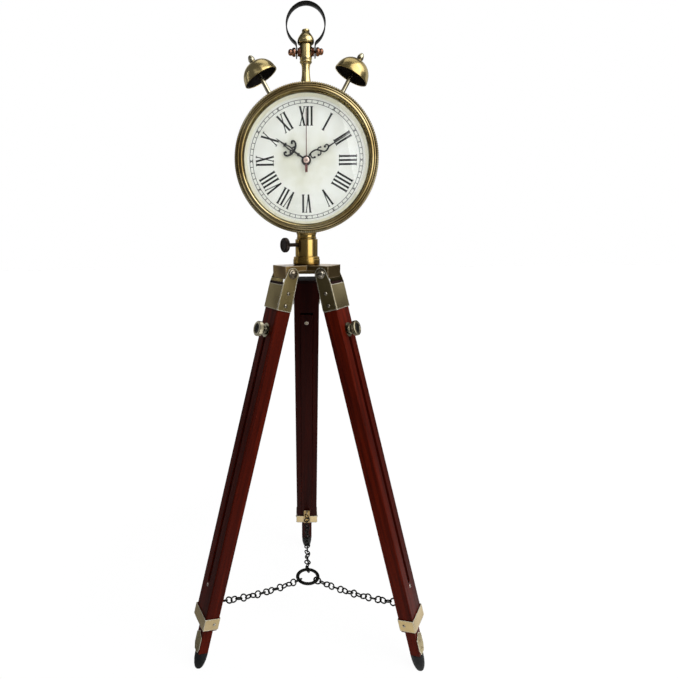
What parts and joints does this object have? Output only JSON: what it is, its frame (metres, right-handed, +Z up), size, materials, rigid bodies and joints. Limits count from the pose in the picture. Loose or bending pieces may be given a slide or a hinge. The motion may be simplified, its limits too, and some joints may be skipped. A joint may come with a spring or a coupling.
{
  "type": "tripod table clock",
  "caption": "Round twin-bell table clock with carrying bail on a socket column over folding wooden tripod legs that extend and are tied by chains.",
  "frame": {"origin": "on the table, under the middle of the three feet's bounding box", "axes": "+Z up, -Y towards the viewer of the dial, +X to the viewer's right"},
  "size_m": [0.2702, 0.2418, 0.7235],
  "materials": {
    "brass": "polished antique brass",
    "dark_brass": "darkened brass",
    "copper": "copper-toned brass",
    "bronze_black": "blackened metal",
    "mahogany": "dark red-brown lacquer",
    "rubber": "matt black",
    "dial_white": "ivory white enamel",
    "hand_black": "black",
    "glass": "clear domed glass",
    "black_plastic": "black",
    "cell_wrap": "plain wrap"
  },
  "bodies": {
    "stand": {"head_plate": "dark_brass", "socket_sleeve": "brass", "chain_ring": "bronze_black"},
    "thumbscrew": {"socket_thumbscrew": "dark_brass"},
    "clock": {"clock_spigot": "brass", "clock_case": "brass", "clock_bezel": "brass", "clock_glass": "glass", "clock_dial": "dial_white", "movement": "black_plastic", "battery": "cell_wrap", "hand_nut": "brass", "bell_left": "brass", "bell_right": "brass", "bell_post_left": "brass", "bell_post_right": "brass", "crown_stem": "brass", "acorn_finial": "brass", "bail_bolt": "copper", "bail_nut_left": "copper", "bail_nut_right": "copper"},
    "bail_body": {"bail": "bronze_black"},
    "cover": {"back_cover": "brass"},
    "hour_hand_body": {"hour_hand": "hand_black"},
    "minute_hand_body": {"minute_hand": "hand_black"},
    "second_hand_body": {"second_hand": "copper"},
    "set_wheel_body": {"set_wheel": "black_plastic"},
    "leg_left": {"leg_left_body": "mahogany", "leg_left_hinge_cap": "brass", "leg_left_band": "brass", "leg_left_pivot_bolt": "dark_brass", "leg_left_chain_eye": "dark_brass"},
    "leg_left_inner": {"leg_left_slider": "mahogany", "leg_left_shoe_plate": "brass", "leg_left_foot": "rubber"},
    "leg_left_clamp": {"leg_left_knob": "brass"},
    "leg_left_chain_a": {"leg_left_chain_outer": "bronze_black"},
    "leg_left_chain_b": {"leg_left_chain_inner": "bronze_black"},
    "leg_right": {"leg_right_body": "mahogany", "leg_right_hinge_cap": "brass", "leg_right_band": "brass", "leg_right_pivot_bolt": "dark_brass", "leg_right_chain_eye": "dark_brass"},
    "leg_right_inner": {"leg_right_slider": "mahogany", "leg_right_shoe_plate": "brass", "leg_right_foot": "rubber"},
    "leg_right_clamp": {"leg_right_knob": "brass"},
    "leg_right_chain_a": {"leg_right_chain_outer": "bronze_black"},
    "leg_right_chain_b": {"leg_right_chain_inner": "bronze_black"},
    "leg_rear": {"leg_rear_body": "mahogany", "leg_rear_hinge_cap": "brass", "leg_rear_band": "brass", "leg_rear_pivot_bolt": "dark_brass", "leg_rear_chain_eye": "dark_brass"},
    "leg_rear_inner": {"leg_rear_slider": "mahogany", "leg_rear_shoe_plate": "brass", "leg_rear_foot": "rubber"},
    "leg_rear_clamp": {"leg_rear_knob": "brass"},
    "leg_rear_chain_a": {"leg_rear_chain_outer": "bronze_black"},
    "leg_rear_chain_b": {"leg_rear_chain_inner": "bronze_black"}
  },
  "joints": [
    {"name": "clock_swivel", "type": "hinge", "parent": "stand", "child": "clock", "pos_m": [0, -0.03331, 0.49039], "axis": [0, 0, 1], "continuous": true},
    {"name": "thumbscrew_turn", "type": "hinge", "parent": "stand", "child": "thumbscrew", "pos_m": [-0.02122, -0.04557, 0.48432], "axis": [-0.866, -0.5, 0], "continuous": true},
    {"name": "bail_swing", "type": "hinge", "parent": "clock", "child": "bail_body", "pos_m": [0, -0.03331, 0.67819], "axis": [1, 0, 0], "range_deg": [-120, 120]},
    {"name": "cover_pull", "type": "slide", "parent": "clock", "child": "cover", "axis": [0, 1, 0], "range_m": [0, 0.06]},
    {"name": "minute_hand_turn", "type": "hinge", "parent": "clock", "child": "minute_hand_body", "pos_m": [0, -0.04822, 0.57109], "axis": [0, 1, 0], "continuous": true},
    {"name": "hour_hand_turn", "type": "hinge", "parent": "clock", "child": "hour_hand_body", "pos_m": [0, -0.04822, 0.57109], "axis": [0, 1, 0], "continuous": true},
    {"name": "second_hand_turn", "type": "hinge", "parent": "clock", "child": "second_hand_body", "pos_m": [0, -0.04822, 0.57109], "axis": [0, 1, 0], "continuous": true},
    {"name": "set_wheel_turn", "type": "hinge", "parent": "clock", "child": "set_wheel_body", "pos_m": [0, -0.04822, 0.57109], "axis": [0, 1, 0], "continuous": true},
    {"name": "leg_left_fold", "type": "hinge", "parent": "stand", "child": "leg_left", "pos_m": [-0.02278, -0.04646, 0.45399], "axis": [0.5, -0.866, 0], "range_deg": [0, 12.5]},
    {"name": "leg_left_extend", "type": "slide", "parent": "leg_left", "child": "leg_left_inner", "axis": [-0.2343, -0.1353, -0.9627], "range_m": [0, 0.285]},
    {"name": "leg_left_knob_turn", "type": "hinge", "parent": "leg_left_inner", "child": "leg_left_clamp", "pos_m": [-0.04496, -0.05927, 0.39315], "axis": [-0.8337, -0.4813, 0.2706], "continuous": true},
    {"name": "leg_left_chain_eye_turn", "type": "hinge", "parent": "leg_left", "child": "leg_left_chain_a", "pos_m": [-0.10231, -0.09238, 0.07484], "axis": [0.5, -0.866, 0], "range_deg": [-70.65, 0.5], "deforming": ["leg_left_chain_outer"]},
    {"name": "leg_left_chain_ring_turn", "type": "hinge", "parent": "stand", "child": "leg_left_chain_b", "pos_m": [-0.00974, -0.03894, 0.0612], "axis": [0.5, -0.866, 0], "range_deg": [-0.5, 89.97], "deforming": ["leg_left_chain_inner"]},
    {"name": "leg_right_fold", "type": "hinge", "parent": "stand", "child": "leg_right", "pos_m": [0.02278, -0.04646, 0.45399], "axis": [0.5, 0.866, 0], "range_deg": [0, 12.5]},
    {"name": "leg_right_extend", "type": "slide", "parent": "leg_right", "child": "leg_right_inner", "axis": [0.2343, -0.1353, -0.9627], "range_m": [0, 0.285]},
    {"name": "leg_right_knob_turn", "type": "hinge", "parent": "leg_right_inner", "child": "leg_right_clamp", "pos_m": [0.04496, -0.05927, 0.39315], "axis": [0.8337, -0.4813, 0.2706], "continuous": true},
    {"name": "leg_right_chain_eye_turn", "type": "hinge", "parent": "leg_right", "child": "leg_right_chain_a", "pos_m": [0.10231, -0.09238, 0.07484], "axis": [0.5, 0.866, 0], "range_deg": [-70.65, 0.5], "deforming": ["leg_right_chain_outer"]},
    {"name": "leg_right_chain_ring_turn", "type": "hinge", "parent": "stand", "child": "leg_right_chain_b", "pos_m": [0.00974, -0.03894, 0.0612], "axis": [0.5, 0.866, 0], "range_deg": [-0.5, 89.97], "deforming": ["leg_right_chain_inner"]},
    {"name": "leg_rear_fold", "type": "hinge", "parent": "stand", "child": "leg_rear", "pos_m": [0, -0.00702, 0.45399], "axis": [-1, 0, 0], "range_deg": [0, 12.5]},
    {"name": "leg_rear_extend", "type": "slide", "parent": "leg_rear", "child": "leg_rear_inner", "axis": [0, 0.2706, -0.9627], "range_m": [0, 0.285]},
    {"name": "leg_rear_knob_turn", "type": "hinge", "parent": "leg_rear_inner", "child": "leg_rear_clamp", "pos_m": [0, 0.0186, 0.39315], "axis": [0, 0.9627, 0.2706], "continuous": true},
    {"name": "leg_rear_chain_eye_turn", "type": "hinge", "parent": "leg_rear", "child": "leg_rear_chain_a", "pos_m": [0, 0.08482, 0.07484], "axis": [-1, 0, 0], "range_deg": [-70.65, 0.5], "deforming": ["leg_rear_chain_outer"]},
    {"name": "leg_rear_chain_ring_turn", "type": "hinge", "parent": "stand", "child": "leg_rear_chain_b", "pos_m": [0, -0.02207, 0.0612], "axis": [-1, 0, 0], "range_deg": [-0.5, 89.97], "deforming": ["leg_rear_chain_inner"]}
  ],
  "couplings": [
    {"joint": "hour_hand_turn", "follows": "minute_hand_turn", "ratio": 0.083333},
    {"joint": "set_wheel_turn", "follows": "minute_hand_turn", "ratio": 1},
    {"joint": "leg_left_chain_eye_turn", "follows": "leg_left_fold", "ratio": -5.6122},
    {"joint": "leg_left_chain_ring_turn", "follows": "leg_left_fold", "ratio": 7.1574},
    {"joint": "leg_right_chain_eye_turn", "follows": "leg_right_fold", "ratio": -5.6122},
    {"joint": "leg_right_chain_ring_turn", "follows": "leg_right_fold", "ratio": 7.1574},
    {"joint": "leg_rear_chain_eye_turn", "follows": "leg_rear_fold", "ratio": -5.6122},
    {"joint": "leg_rear_chain_ring_turn", "follows": "leg_rear_fold", "ratio": 7.1574}
  ]
}
